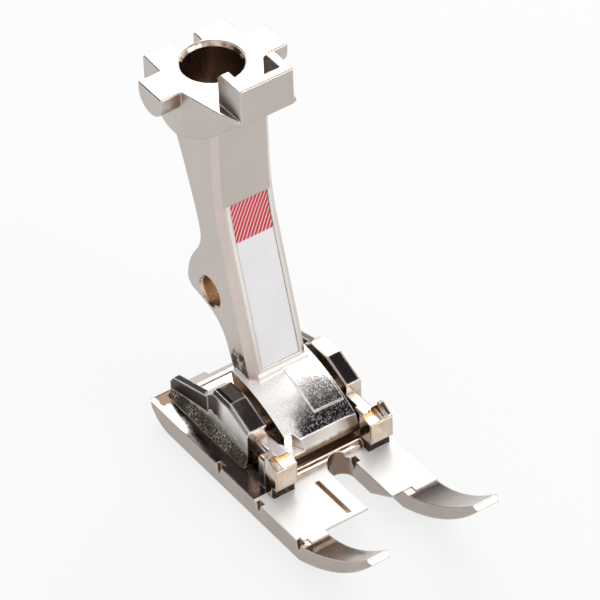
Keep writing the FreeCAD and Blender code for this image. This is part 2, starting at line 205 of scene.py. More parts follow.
def grain_effect():
    """Rounded edges with a grain on top, as a normal, and the grain itself as a mask."""
    tree, ins, out = effect("Plating grain", {
        "Edge": ("f", 0.0001), "Size": ("f", 0.0002), "Depth": ("f", 0.00001),
        "Wave size": ("f", 0.003), "Wave depth": ("f", 0.00002)},
        {"Normal": "v", "Grain": "f"})
    place = put(tree, "ShaderNodeTexCoord").outputs["Object"]
    edge = put(tree, "ShaderNodeBevel", {"Radius": ins.outputs["Edge"]}, samples=6)
    fine = put(tree, "ShaderNodeTexNoise", {
        "Vector": place, "Scale": maths(tree, "DIVIDE", 1.0, ins.outputs["Size"]),
        "Detail": 3.0, "Roughness": 0.6})
    slow = put(tree, "ShaderNodeTexNoise", {
        "Vector": place, "Scale": maths(tree, "DIVIDE", 1.0, ins.outputs["Wave size"]),
        "Detail": 1.0, "Roughness": 0.4})
    height = maths(tree, "ADD",
                   maths(tree, "MULTIPLY", fine.outputs["Fac"], ins.outputs["Depth"]),
                   maths(tree, "MULTIPLY", slow.outputs["Fac"], ins.outputs["Wave depth"]))
    bump = put(tree, "ShaderNodeBump", {"Height": height, "Distance": 1.0, "Strength": 1.0,
                                        "Normal": edge.outputs["Normal"]})
    tree.links.new(bump.outputs["Normal"], out.inputs["Normal"])
    tree.links.new(fine.outputs["Fac"], out.inputs["Grain"])
    return tree


def rub_and_shine_effect():
    """Mask of rubbed and shining edges, partly wear and partly painted highlight: where the rounded
    normal leaves the flat one.
    """
    tree, ins, out = effect("Rubbed and shining edges", {"Width": ("f", 0.00012)}, {"Mask": "f"})
    edge = put(tree, "ShaderNodeBevel", {"Radius": ins.outputs["Width"]}, samples=6)
    flat = put(tree, "ShaderNodeNewGeometry").outputs["Normal"]
    dot = put(tree, "ShaderNodeVectorMath", {0: edge.outputs["Normal"], 1: flat},
              operation="DOT_PRODUCT").outputs["Value"]
    tree.links.new(ramp(tree, dot, 0.995, 0.90), out.inputs["Mask"])
    return tree


def hollow_effect():
    """Mask of the hollows, by occlusion, for a brown tint that is partly the bath's stain and
    partly painted shade and reflection, broken up a little.
    """
    tree, ins, out = effect("Hollow stain and shade", {"Reach": ("f", 0.001)}, {"Mask": "f"})
    place = put(tree, "ShaderNodeTexCoord").outputs["Object"]
    open_sky = put(tree, "ShaderNodeAmbientOcclusion", {"Distance": ins.outputs["Reach"]},
                   samples=8, only_local=True).outputs["AO"]
    drift = put(tree, "ShaderNodeTexNoise", {"Vector": place, "Scale": 900.0, "Detail": 3.0})
    level = maths(tree, "ADD", open_sky,
                  ramp(tree, drift.outputs["Fac"], 0.3, 0.7, -0.12, 0.12))
    tree.links.new(ramp(tree, level, 0.82, 0.38), out.inputs["Mask"])
    return tree


def reach_effect():
    """Mask of a place: rises between two coordinates along each axis, with ragged ends."""
    tree, ins, out = effect("Place mask", {
        "X start": ("f", 0.0), "X end": ("f", 0.001), "Y start": ("f", 0.0),
        "Y end": ("f", 0.001), "Z start": ("f", 0.0), "Z end": ("f", 0.001),
        "Ragged": ("f", 0.0002)}, {"Mask": "f"})
    place = put(tree, "ShaderNodeTexCoord").outputs["Object"]
    drift = put(tree, "ShaderNodeTexNoise", {"Vector": place, "Scale": 1400.0, "Detail": 4.0})
    shift = maths(tree, "MULTIPLY", maths(tree, "SUBTRACT", drift.outputs["Fac"], 0.5),
                  ins.outputs["Ragged"])
    mask = None
    for axis in "XYZ":
        along = put(tree, "ShaderNodeSeparateXYZ", {0: place}).outputs[axis]
        at = maths(tree, "ADD", along, shift)
        part = ramp(tree, at, ins.outputs[axis + " start"], ins.outputs[axis + " end"])
        mask = part if mask is None else maths(tree, "MULTIPLY", mask, part)
    tree.links.new(mask, out.inputs["Mask"])
    return tree


def tone_effect():
    """Colour that drifts between two tones, with dark specks, and a mask of finer dots."""
    tree, ins, out = effect("Plate tone", {
        "Tone": ("c", (0.5, 0.5, 0.5)), "Stain": ("c", (0.4, 0.36, 0.3)),
        "Patch size": ("f", 0.004), "Amount": ("f", 0.3), "Speck": ("f", 0.1),
        "Speck size": ("f", 0.00025)}, {"Colour": "c", "Patch": "f", "Dots": "f"})
    place = put(tree, "ShaderNodeTexCoord").outputs["Object"]
    patch = put(tree, "ShaderNodeTexNoise", {
        "Vector": place, "Scale": maths(tree, "DIVIDE", 1.0, ins.outputs["Patch size"]),
        "Detail": 4.0, "Roughness": 0.55}).outputs["Fac"]
    speck = put(tree, "ShaderNodeTexNoise", {
        "Vector": place, "Scale": maths(tree, "DIVIDE", 1.0, ins.outputs["Speck size"]),
        "Detail": 2.0, "Roughness": 0.7}).outputs["Fac"]
    patch = ramp(tree, patch, 0.35, 0.7)
    drift = blend_colour(tree, maths(tree, "MULTIPLY", patch, ins.outputs["Amount"]),
                         ins.outputs["Tone"], ins.outputs["Stain"])
    tree.links.new(ramp(tree, speck, 0.46, 0.62), out.inputs["Dots"])
    dots = maths(tree, "MULTIPLY", ramp(tree, speck, 0.60, 0.74), ins.outputs["Speck"])
    tree.links.new(blend_colour(tree, dots, drift, SPECK_COLOUR), out.inputs["Colour"])
    tree.links.new(patch, out.inputs["Patch"])
    return tree


def group(tree, name, inputs=None):
    """A shared effect, placed in a material with its own values."""
    return put(tree, "ShaderNodeGroup", inputs, node_tree=bpy.data.node_groups[name])


def placed(tree, x=ALL_OVER, y=ALL_OVER, z=ALL_OVER, ragged=0.4):
    """Mask that rises from the first to the second coordinate along each axis, in mm.

    A range given from high to low makes the mask rise towards the low end.
    """
    return group(tree, "Place mask", {
        "X start": x[0] * MM, "X end": x[1] * MM, "Y start": y[0] * MM, "Y end": y[1] * MM,
        "Z start": z[0] * MM, "Z end": z[1] * MM, "Ragged": ragged * MM}).outputs["Mask"]


def new_material(name):
    """A material with its node tree and its shader."""
    mat = bpy.data.materials.new(name)
    mat.use_nodes = True
    return mat, mat.node_tree, mat.node_tree.nodes["Principled BSDF"]


def metal(name, colour, roughness, spread=0.05, metallic=1.0, stain=None, amount=0.25,
          patch_size=0.004, speck=0.0, fleck=0.0, glint=0.0, speck_size=0.00025, size=0.0002,
          depth=0.0, wave_size=0.004, wave_depth=0.0, rub_and_shine=0.0, rim=None, edge=1.0, hollow=0.0,
          patches=()):
    """A plated metal: toned, grained, rounded at its edges.

    spread: how far the roughness drifts to either side. All lengths are in metres.
    stain, amount, patch_size: where the colour drifts to, how far, and over what length.
    speck, fleck, glint, speck_size: share of dark specks, of pale specks that are painted glints,
    and of rough specks, and their size.
    size, depth, wave_size, wave_depth: grain and slow waves of the surface.
    rub_and_shine, rim, edge: share and colour of the bright edges, partly wear and partly painted
    highlight, and their width against the usual.
    hollow: share of the brown tint in hollows, partly the bath's stain and partly painted shade.
    patches: (place, colour) or (place, colour, roughness), each laid over the one before.
    """
    plating = bpy.context.scene.foot_plating
    mat, tree, shader = new_material(name)
    shader.inputs["Metallic"].default_value = metallic
    tone = group(tree, "Plate tone", {
        "Tone": tuple(colour), "Stain": tuple(stain or [c * 0.86 for c in colour]),
        "Patch size": patch_size, "Amount": amount, "Speck": speck, "Speck size": speck_size})
    out = tone.outputs["Colour"]
    rough = maths(tree, "ADD", roughness - spread,
                  maths(tree, "MULTIPLY", tone.outputs["Patch"], 2 * spread), clamp=True)
    for where, shade, *worn in patches:
        mask = placed(tree, **where)
        out = blend_colour(tree, mask, out, tuple(shade))
        if worn:
            rough = blend(tree, mask, rough, worn[0])
    # Pale flecks: painted glints.
    if fleck:
        out = blend_colour(tree, maths(tree, "MULTIPLY", tone.outputs["Dots"], fleck), out,
                           FLECK_COLOUR)
    # Brown tint in the hollows: partly stain, partly painted shade.
    if hollow:
        mask = maths(tree, "MULTIPLY", group(tree, "Hollow stain and shade").outputs["Mask"], hollow)
        out = blend_colour(tree, mask, out, tuple(plating.bronze))
    # Bright edges: partly wear, partly painted highlight.
    if rub_and_shine:
        mask = maths(tree, "MULTIPLY",
                     group(tree, "Rubbed and shining edges",
                           {"Width": plating.edge * edge * 1.3}).outputs["Mask"], rub_and_shine)
        out = blend_colour(tree, mask, out, tuple(rim or plating.bright))
        if rim:
            rough = blend(tree, mask, rough, RIM_ROUGHNESS)
    grain = group(tree, "Plating grain", {
        "Edge": plating.edge * edge, "Size": size, "Depth": depth,
        "Wave size": wave_size, "Wave depth": wave_depth})
    if glint:
        rough = maths(tree, "ADD", rough, maths(tree, "MULTIPLY", tone.outputs["Dots"], glint),
                      clamp=True)
    tree.links.new(out, shader.inputs["Base Color"])
    tree.links.new(rough, shader.inputs["Roughness"])
    tree.links.new(grain.outputs["Normal"], shader.inputs["Normal"])
    return mat


def cast_skin(name, dark, light, depth, share_light, size=0.0002, sheen_slopes=None):
    """Rough as-cast metal: dark hollows with gold-grey crests, partly its grain and partly painted
    shade in the pits and painted glints on the crests.

    depth, size: grain of the surface, in metres.
    share_light: how much of it the crests take.
    sheen_slopes: the upward slopes of the surface at which a painted sheen begins and is full.
    """
    plating = bpy.context.scene.foot_plating
    mat, tree, shader = new_material(name)
    shader.inputs["Metallic"].default_value = 1.0
    coords = put(tree, "ShaderNodeTexCoord").outputs
    place = coords["Object"]
    grain = group(tree, "Plating grain", {
        "Edge": plating.edge * 1.5, "Size": size, "Depth": depth,
        "Wave size": size * 4, "Wave depth": depth})
    crest = ramp(tree, grain.outputs["Grain"], 0.62 - share_light * 0.16, 0.70 - share_light * 0.1)
    drift = put(tree, "ShaderNodeTexNoise", {"Vector": place, "Scale": 300.0, "Detail": 3.0})
    crest = maths(tree, "MULTIPLY", crest, ramp(tree, drift.outputs["Fac"], 0.38, 0.60, 0.2, 1.0))
    sand = put(tree, "ShaderNodeTexNoise", {"Vector": place, "Scale": 1.6 / size, "Detail": 5.0,
                                            "Roughness": 0.8})
    crest = maths(tree, "MULTIPLY", crest, ramp(tree, sand.outputs["Fac"], 0.38, 0.52))
    colour = blend_colour(tree, crest, tuple(dark), tuple(light))
    rough = ramp(tree, crest, 0.0, 1.0, 0.42, 0.22)
    # Faces that look up get a lighter skin: a painted sheen.
    if sheen_slopes:
        even = ramp(tree, put(tree, "ShaderNodeSeparateXYZ", {0: coords["Normal"]}).outputs["Z"],
                    *sheen_slopes)
        colour = blend_colour(tree, even, colour, SKIN_SHEEN)
        rough = maths(tree, "ADD", rough, maths(tree, "MULTIPLY", even, 0.2), clamp=True)
    tree.links.new(colour, shader.inputs["Base Color"])
    tree.links.new(rough, shader.inputs["Roughness"])
    tree.links.new(grain.outputs["Normal"], shader.inputs["Normal"])
    return mat


def bored(name, colour, light, along, turn_size):
    """A drilled wall: streaks that run along the axis where along is small."""
    mat, tree, shader = new_material(name)
    shader.inputs["Metallic"].default_value = 1.0
    place = put(tree, "ShaderNodeTexCoord").outputs["Object"]
    squeeze = put(tree, "ShaderNodeMapping", {"Vector": place, "Scale": along})
    mark = put(tree, "ShaderNodeTexNoise", {
        "Vector": squeeze.outputs["Vector"], "Scale": 1.0 / turn_size, "Detail": 3.0,
        "Roughness": 0.65}).outputs["Fac"]
    bump = put(tree, "ShaderNodeBump", {"Height": mark, "Distance": 0.00003, "Strength": 1.0})
    streak = ramp(tree, mark, 0.45, 0.68)
    tree.links.new(blend_colour(tree, streak, tuple(colour), tuple(light)),
                   shader.inputs["Base Color"])
    tree.links.new(ramp(tree, streak, 0.0, 1.0, 0.34, 0.18), shader.inputs["Roughness"])
    tree.links.new(bump.outputs["Normal"], shader.inputs["Normal"])
    return mat


def alone(thing):
    """Only this object selected and active."""
    if bpy.context.object and bpy.context.object.mode != "OBJECT":
        bpy.ops.object.mode_set(mode="OBJECT")
    bpy.ops.object.select_all(action="DESELECT")
    thing.select_set(True)
    bpy.context.view_layer.objects.active = thing
    return thing


def casting_of(node, name, cuts=()):
    """A copy of a solid, welded and with its flat faces whole, split where a finish ends."""
    alone(frame["nodes"][node])
    bpy.ops.object.duplicate()
    piece = alone(bpy.context.active_object)
    piece.name = piece.data.name = name
    piece.parent = None
    piece.matrix_world = Matrix.Identity(4)
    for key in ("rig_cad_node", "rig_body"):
        if key in piece:
            del piece[key]
    piece.data.materials.clear()
    bpy.ops.mesh.customdata_custom_splitnormals_clear()
    bpy.ops.object.mode_set(mode="EDIT")
    bpy.ops.mesh.select_all(action="SELECT")
    bpy.ops.mesh.remove_doubles(threshold=5e-7)
    bpy.ops.mesh.dissolve_limited(angle_limit=math.radians(0.4))
    bpy.ops.mesh.mark_sharp(clear=True)
    for place, across in cuts:
        bpy.ops.mesh.select_all(action="SELECT")
        bpy.ops.mesh.bisect(plane_co=[c * MM for c in place], plane_no=across)
    bpy.ops.object.mode_set(mode="OBJECT")
    return piece


def rounded(piece):
    """Smooth shading that keeps flat faces flat and edges crisp."""
    alone(piece)
    bpy.ops.object.shade_smooth_by_angle(angle=math.radians(24.0))
    even = piece.modifiers.new("Even", "WEIGHTED_NORMAL")
    even.keep_sharp = True
    even.mode = "FACE_AREA_WITH_ANGLE"
    bpy.ops.object.modifier_apply(modifier=even.name)
    return piece


def dress(piece, base, zones):
    """The base finish all over, then each zone's finish on the faces that its test picks.

    A test reads a face's centre in mm and its normal, and a later zone goes over an earlier one.
    """
    piece.data.materials.append(base)
    for finish, test in zones:
        if finish.name not in piece.data.materials:
            piece.data.materials.append(finish)
        slot = piece.data.materials.find(finish.name)
        for face in piece.data.polygons:
            if test(face.center / MM, face.normal):
                face.material_index = slot
    return piece


def build_effects():
    """The shared effects, made once."""
    if "Plating grain" not in bpy.data.node_groups:
        grain_effect()
        rub_and_shine_effect()
        hollow_effect()
        reach_effect()
        tone_effect()


class FOOT_OT_sole(bpy.types.Operator):
    """Builds the plated sole from its solid and gives each face its finish"""

    bl_idname = "foot.sole"
    bl_label = "Sole"

    def execute(self, context):
        build_effects()
        p = context.scene.foot_plating
        piece = rounded(casting_of("sole", "sole_casting", (((0, REAR_Y, 0), (0, 1, 0)),
                                                            ((LEDGE_X, 0, 0), (1, 0, 0)))))
        polish = dict(size=0.0004, depth=0.0000006, wave_size=0.006, wave_depth=0.000006,
                      spread=0.03, hollow=0.55)
        bright = metal("bright_plate", p.bright, p.bright_roughness, **polish)
        # Orange band in the channel behind the slit: a painted reflection; the other patches keep
        # the bright plate outside it.
        deck_reflection_patches = [({"y": (3.7, 3.2)}, (0.62, 0.42, 0.26), 0.55)]
        for around in ({"y": (1.7, 1.5)}, {"x": (3.9, 4.1)}, {"x": (-3.9, -4.1)}):
            deck_reflection_patches.append((dict(around, ragged=0.2), tuple(p.bright), p.bright_roughness))
        deck = metal("deck_plate", p.bright, p.bright_roughness, patches=deck_reflection_patches, **polish)
        # The flats: a near-white, mostly non-metal copy of the plate, a painted highlight standing
        # in for the lamp's reflection.
        flats = metal("flats_plate", (0.95, 0.935, 0.915), 0.34, size=0.0004, depth=0.000002,
                      wave_size=0.006, wave_depth=0.000006, spread=0.04, hollow=0.12,
                      amount=0.1, metallic=0.15)
        # The ledge: the plate painted dark as shade beside the lug and rib, with a pale patch as a
        # painted highlight and a dark brown patch at its back.
        ledge = metal("ledge_plate", (0.12, 0.095, 0.09), 0.16, size=0.0002, depth=0.000008,
                      stain=(0.06, 0.045, 0.04), amount=0.7, patch_size=0.0012, speck=0.4,
                      speck_size=0.0002, patches=(
                          ({"x": (-7.6, -8.0), "y": (11.6, 13.2), "ragged": 0.5},
                           (0.92, 0.89, 0.86)),
                          ({"x": (-8.6, -8.3), "y": (16.0, 16.6), "ragged": 0.8},
                           (0.13, 0.085, 0.06))))
        # Inner faces of the lugs: brown as a painted reflection.
        inner = metal("lug_inner_plate", (0.62, 0.48, 0.37), 0.32, size=0.0003,
                      depth=0.000004, stain=(0.36, 0.22, 0.13), amount=0.8, patch_size=0.002)
        # Outer face of the left lug: near-white as a painted highlight, with a dark band across it.
        side = metal("lug_side_plate", (0.95, 0.91, 0.87), 0.42, size=0.0003, depth=0.000004,
                     amount=0.3, rub_and_shine=0.9, patches=(
                         ({"y": (8.6, 10.0)}, (0.07, 0.05, 0.042)),))
        # The rib's top: near black as a painted dark reflection, with painted highlight rims.
        rib = metal("rib_plate", (0.07, 0.06, 0.06), 0.14, size=0.0003, depth=0.000003,
                    amount=0.3, rub_and_shine=1.0, edge=0.8, rim=(0.95, 0.92, 0.88))
        # The lugs' top facets: dark as a painted dark reflection, with painted highlight rims.
        facet = metal("facet_plate", (0.24, 0.215, 0.21), 0.07, size=0.0003, depth=0.0000015,
                      amount=0.3, rub_and_shine=1.0, edge=1.3, spread=0.02, rim=(1.0, 0.97, 0.93))
        # The blocks' scoops: orange and dark bands across them as painted reflection.
        scoop = metal("scoop_plate", (0.66, 0.57, 0.48), 0.10, size=0.0003, depth=0.000003,
                      wave_size=0.0010, wave_depth=0.00004, spread=0.03, hollow=0.8, patches=(
                          ({"y": (0.0, 0.5)}, (0.50, 0.24, 0.09)),
                          ({"y": (0.5, 1.05)}, (0.10, 0.055, 0.035))))
        block = metal("block_plate", (0.62, 0.545, 0.47), 0.13, size=0.0003, depth=0.000003,
                      wave_size=0.0012, wave_depth=0.00003, spread=0.03, hollow=1.0, rub_and_shine=0.6,
                      stain=(0.50, 0.34, 0.20), amount=0.5, patch_size=0.0015)
        saddle = metal("saddle_plate", (0.66, 0.625, 0.63), 0.26, size=0.0003, depth=0.000003,
                       wave_size=0.0012, wave_depth=0.00002, hollow=0.7, rub_and_shine=0.6,
                       stain=(0.42, 0.37, 0.36), amount=0.6, patch_size=0.0015)
        # Side faces: a darker copy of the plate, painted shade.
        flank = metal("flank_plate", p.flank, 0.24, size=0.00025, depth=0.000006,
                      wave_size=0.004, wave_depth=0.00001, amount=0.4, speck=0.12, rub_and_shine=0.9)
        # Walls of the needle gap: darker than the plate, browner towards the back, as painted shade
        # in the gap.
        wall = metal("gap_plate", (0.42, 0.36, 0.32), 0.22, size=0.00025, depth=0.000006,
                     wave_size=0.003, wave_depth=0.00002, amount=0.5, speck=0.12, rub_and_shine=0.9,
                     patches=(({"y": (-0.2, 0.6)}, (0.24, 0.17, 0.13)),))
        # Toe tops: darker copies of the plate as painted dark reflection, darker towards the back,
        # with painted light and dark stripes on the left toe.
        toe_right = metal("toe_right_plate", (0.37, 0.32, 0.29), 0.16, size=0.0003,
                          depth=0.000003, amount=0.4, rub_and_shine=0.9, patches=(
                              ({"y": (-13.0, -8.5)}, (0.17, 0.14, 0.125)),))
        toe_left = metal("toe_left_plate", (0.40, 0.34, 0.30), 0.16, size=0.0003,
                         depth=0.000003, amount=0.4, rub_and_shine=0.9, patches=(
                             ({"y": (-16.0, -11.5)}, (0.12, 0.075, 0.055)),
                             ({"y": (-8.6, -8.2), "ragged": 0.5}, (0.52, 0.45, 0.39)),
                             ({"y": (-7.7, -7.4), "ragged": 0.5}, (0.14, 0.09, 0.065))))
        slit = metal("slit_plate", (0.92, 0.76, 0.58), 0.45, stain=(0.60, 0.42, 0.28),
                     amount=0.7, size=0.0003, depth=0.000006, patch_size=0.002)
        # The flare and the blocks' feet: cast skin with painted shade in its pits and painted
        # glints on its crests.
        skin = cast_skin("cast_skin", p.skin_dark, p.skin_light, 0.00003, 0.75, size=0.00012,
                         sheen_slopes=(0.24, 0.04))
        feet = cast_skin("cast_feet", p.skin_dark, (0.30, 0.25, 0.20), 0.00004, 0.4)
        # Channel walls below the plate: bronze, partly stain and partly painted shade in the
        # channel.
        well = metal("bronze_well", p.bronze, 0.28, stain=(0.45, 0.27, 0.14), amount=0.8,
                     size=0.00025, depth=0.00002, wave_size=0.002, wave_depth=0.00003)

        def level(c, n):
            return n.z > 0.99 and abs(c.z - PLATE_TOP) < 0.05

        dress(piece, bright, [
            (flank, lambda c, n: abs(n.x) > 0.9 and (c.x < -8.6 or c.x > 5.2) and c.z < 9),
            (flank, lambda c, n: c.y < TOE_Y and (abs(n.x) > 0.5 or n.z < -0.3 or n.y > 0.2)),
            (wall, lambda c, n: c.y < 1.2 and abs(n.z) < 0.5 and abs(c.x) < 1.6 and c.z < 2.2),
            (toe_right, lambda c, n: c.x > 2.5 and c.y < TOE_Y and n.y > 0.12),
            (toe_left, lambda c, n: c.x < -5.5 and c.y < TOE_Y and n.y > 0.12),
            (flats, lambda c, n: level(c, n) and c.y < REAR_Y),
            (deck, lambda c, n: level(c, n) and c.y > REAR_Y and c.x > LEDGE_X),
            (ledge, lambda c, n: level(c, n) and c.y > REAR_Y and c.x < LEDGE_X),
            (block, lambda c, n: c.z > 2.2 and -0.8 < c.y < 6.0),
            (saddle, lambda c, n: 1.3 < c.y < 4.8 and 3.2 < c.z < 5.0),
            (scoop, lambda c, n: c.z > 5.5 and -0.6 < c.y < 1.0 and n.z > 0.3
             and (-7.15 < c.x < -5.15 or 3.0 < c.x < 5.0)),
            (flank, lambda c, n: c.y > 14.7 and c.z < PLATE_TOP - 0.01 and n.z < 0.9),
            (well, lambda c, n: c.z < PLATE_TOP - 0.01 and n.z < 0.2
             and -4.6 < c.x < 4.3 and 3.1 < c.y < 14.1),
            (slit, lambda c, n: -4.6 < c.x < -1.6 and c.y < -0.9
             and SLIT_FLOOR - 0.2 < c.z < PLATE_TOP - 0.01
             and abs(n.y) < 0.99 and (n.z > 0.9 or abs(n.x) > 0.5)),
            (side, lambda c, n: n.x < -0.9 and -6.95 < c.x < -6.7 and c.z > 2.9 and c.y > 1.2),
            (rib, lambda c, n: -6.9 < c.x < -5.8 and c.y > 9.0 and c.z > 3.6 and n.z > 0.8),
            (inner, lambda c, n: abs(n.x) > 0.9 and 3.9 < abs(c.x) < 4.6 and c.y > 2.0
             and c.z > 2.2),
            (facet, lambda c, n: 3.8 < abs(c.x) < 6.9 and c.y > 2.5 and c.z > 4.5
             and n.y < -0.25 and n.z > 0.4),
            (skin, lambda c, n: -7.5 < c.x < -6.76 and 5.0 < c.y < 17.5
             and c.z > PLATE_TOP + 0.01 and n.x < -0.2 and n.z > 0.008),
            (feet, lambda c, n: -0.7 < c.y < 1.15 and 2.1 < c.z < 3.4 and abs(n.z) < 0.9
             and (c.x < -5.02 or c.x > 2.95) and (n.y < -0.5 or abs(n.x) > 0.5)),
        ])
        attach(piece, "sole_unit")
        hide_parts("sole")
        return {"FINISHED"}


class FOOT_OT_pin(bpy.types.Operator):
    """Gives the hinge pin its ground finish"""

    bl_idname = "foot.pin"
    bl_label = "Hinge pin"

    def execute(self, context):
        build_effects()
        p = context.scene.foot_plating
        ground = metal("ground_pin", p.bright, 0.16, size=0.00015, depth=0.000002, speck=0.1)
        pin = frame["nodes"]["hinge_pin"]
        pin.material_slots[0].material = ground
        return {"FINISHED"}


class FOOT_OT_shank(bpy.types.Operator):
    """Builds the shank, its head and its knuckle from their solid"""

    bl_idname = "foot.shank"
    bl_label = "Shank"

    def execute(self, context):
        build_effects()
        p = context.scene.foot_plating
        piece = rounded(casting_of("shank", "shank_casting"))
        satin = metal("satin_plate", p.satin, p.satin_roughness, size=p.grain,
                      depth=0.000006, wave_size=0.005, wave_depth=0.00001, amount=0.3,
                      speck=0.10, spread=0.04, rub_and_shine=0.5, patches=(
                          # Painted shade on the lobe at the back of the shank.
                          ({"y": (13.8, 17.0), "z": (21.8, 20.0)}, (0.34, 0.307, 0.282)),
                          # A dark brown painted reflection low on the left side.
                          ({"x": (-3.1, -3.2), "y": (12.4, 12.0), "z": (10.0, 9.5), "ragged": 1.4},
                           (0.085, 0.06, 0.045), 0.12),
                          ({"y": (10.9, 11.2), "z": (8.9, 9.1), "ragged": 0.9},
                           tuple(p.satin))))
        ear = metal("ear_plate", p.satin, p.satin_roughness, size=p.grain, depth=0.000006,
                    amount=0.3, speck=0.10, rub_and_shine=0.5, patches=(
                        # Painted shade under the ear, tinted brown as a painted reflection.
                        ({"x": (-6.1, -5.0), "z": (35.0, 36.2), "ragged": 0.9},
                         (0.33, 0.215, 0.15)),))
        # The shank's front faces: a lighter copy of the plating, a painted highlight.
        front = metal("front_plate", (0.84, 0.81, 0.76), 0.30, size=0.0002, depth=0.00001,
                      amount=0.3, speck=0.25, speck_size=0.0003, rub_and_shine=0.5, patches=(
                          ({"x": (-2.3, -2.45), "ragged": 0.05}, tuple(p.chamfer)),))
        bright = bpy.data.materials.get("bright_plate")
        chamfer = metal("chamfer_band", p.chamfer, 0.30, size=p.grain, depth=0.000005,
                        amount=0.25, rub_and_shine=0.4)
        # Knuckle: near-white and a whiter patch as painted highlight, two dark patches as painted
        # shade where it turns away, pale flecks as painted glints.
        knuckle = metal("knuckle_plate", (0.97, 0.93, 0.91), 0.17, spread=0.04, size=0.0002,
                        depth=0.000008, wave_size=0.0020, wave_depth=0.000003, glint=0.12,
                        rub_and_shine=0.6, edge=0.8, rim=(1.0, 0.97, 0.94),
                        speck_size=0.00019, fleck=0.5, patches=(
                            ({"x": (0.2, -0.6), "y": (5.5, 7.2)}, (1.0, 0.97, 0.95), 0.5),
                            ({"x": (-2.7, -1.7), "y": (5.7, 3.4), "ragged": 2.0},
                             (0.09, 0.08, 0.085)),
                            ({"x": (0.4, 3.4), "y": (6.7, 3.5), "ragged": 2.0},
                             (0.10, 0.09, 0.095))))
        # Sides of the knuckle: dark brown as painted shade.
        cheek = metal("cheek_plate", (0.22, 0.15, 0.105), 0.30, size=0.0003, depth=0.000006,
                      stain=(0.10, 0.06, 0.04), amount=0.8, patch_size=0.0015)
        # Front lip: cream as a painted highlight, browner towards the bottom as painted shade under
        # the lip.
        nose = metal("nose_plate", (0.90, 0.86, 0.81), 0.34, size=0.0003, depth=0.000004,
                     wave_size=0.0012, wave_depth=0.00001, hollow=0.5, patches=(
                         ({"z": (3.95, 3.6), "ragged": 0.5}, (0.26, 0.18, 0.11)),))
        bore = bored("bore_wall", p.bore, (0.30, 0.22, 0.17), (1.0, 1.0, 0.1), 0.0015)
        guide = bored("guide_wall", (0.80, 0.62, 0.45), (1.0, 0.92, 0.78), (0.1, 1.0, 1.0),
                      0.00035)
        # The frame round the label: a lighter copy of the plating, a painted highlight.
        frame_plate = metal("frame_plate", (0.86, 0.83, 0.80), 0.16, size=0.0003,
                            depth=0.000003, amount=0.2)
        mouth = metal("mouth_ring", (0.66, 0.55, 0.47), 0.10, size=0.0002, depth=0.000002,
                      stain=(0.20, 0.12, 0.08), amount=1.0, patch_size=0.0011,
                      wave_size=0.0012, wave_depth=0.00002)

        def in_bore(c, n):
            far = math.hypot(c.x, c.y - BORE_Y)
            wall = far < 2.85 and 33.8 < c.z < HEAD_TOP - 0.25 and n.z <= 0.5
            floor = far < 2.8 and 33.0 < c.z < 34.2 and n.z > 0.5
            return wall or floor

        def in_guide(c, n):
            y, z = c.y - GUIDE_Y, c.z - GUIDE_Z
            return math.hypot(y, z) < GUIDE_R + 0.1 and abs(n.x) < 0.2 and n.y * y + n.z * z < 0.0

        dress(piece, satin, [
            (bright, lambda c, n: n.z > 0.12 and c.z > HEAD_TOP - 0.25),
            (ear, lambda c, n: n.y < -0.9 and c.x < -4.7 and 15.9 < c.y < 16.3 and c.z > 34.0),
            (front, lambda c, n: n.y < -0.9 and 7.9 < c.z < 25.0 and abs(c.x) < 2.95),
            (chamfer, lambda c, n: n.y < -0.5 and abs(n.x) > 0.5 and c.z > 7.0),
            (knuckle, lambda c, n: c.y < 11.3 and c.z < 8.3 and not (abs(n.x) > 0.9 and c.z > 7.6)),
            (cheek, lambda c, n: abs(n.x) > 0.9 and abs(c.x) > 3.4 and c.y < 10.8 and c.z < 7.5),
            (nose, lambda c, n: c.y < 3.0 and c.z < 5.6 and n.z < 0.75),
            (frame_plate, lambda c, n: n.y < -0.8 and c.z < 8.2 and c.y < 9.6 and c.y > 8.0),
            (frame_plate, lambda c, n: n.x < -0.9 and 1.9 < c.x < 2.3 and 8.0 < c.z < 25.0),
            (bore, in_bore),
            (mouth, lambda c, n: math.hypot(c.x, c.y - BORE_Y) < 3.12 and n.z < 0.9
             and HEAD_TOP - 0.37 < c.z < HEAD_TOP + 0.01),
            (guide, in_guide),
            (mouth, lambda c, n: 0.3 < abs(n.x) < 0.95
             and GUIDE_R < math.hypot(c.y - GUIDE_Y, c.z - GUIDE_Z) < GUIDE_R + 0.27),
        ])
        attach(piece, "shank_unit")
        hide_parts("shank")
        return {"FINISHED"}


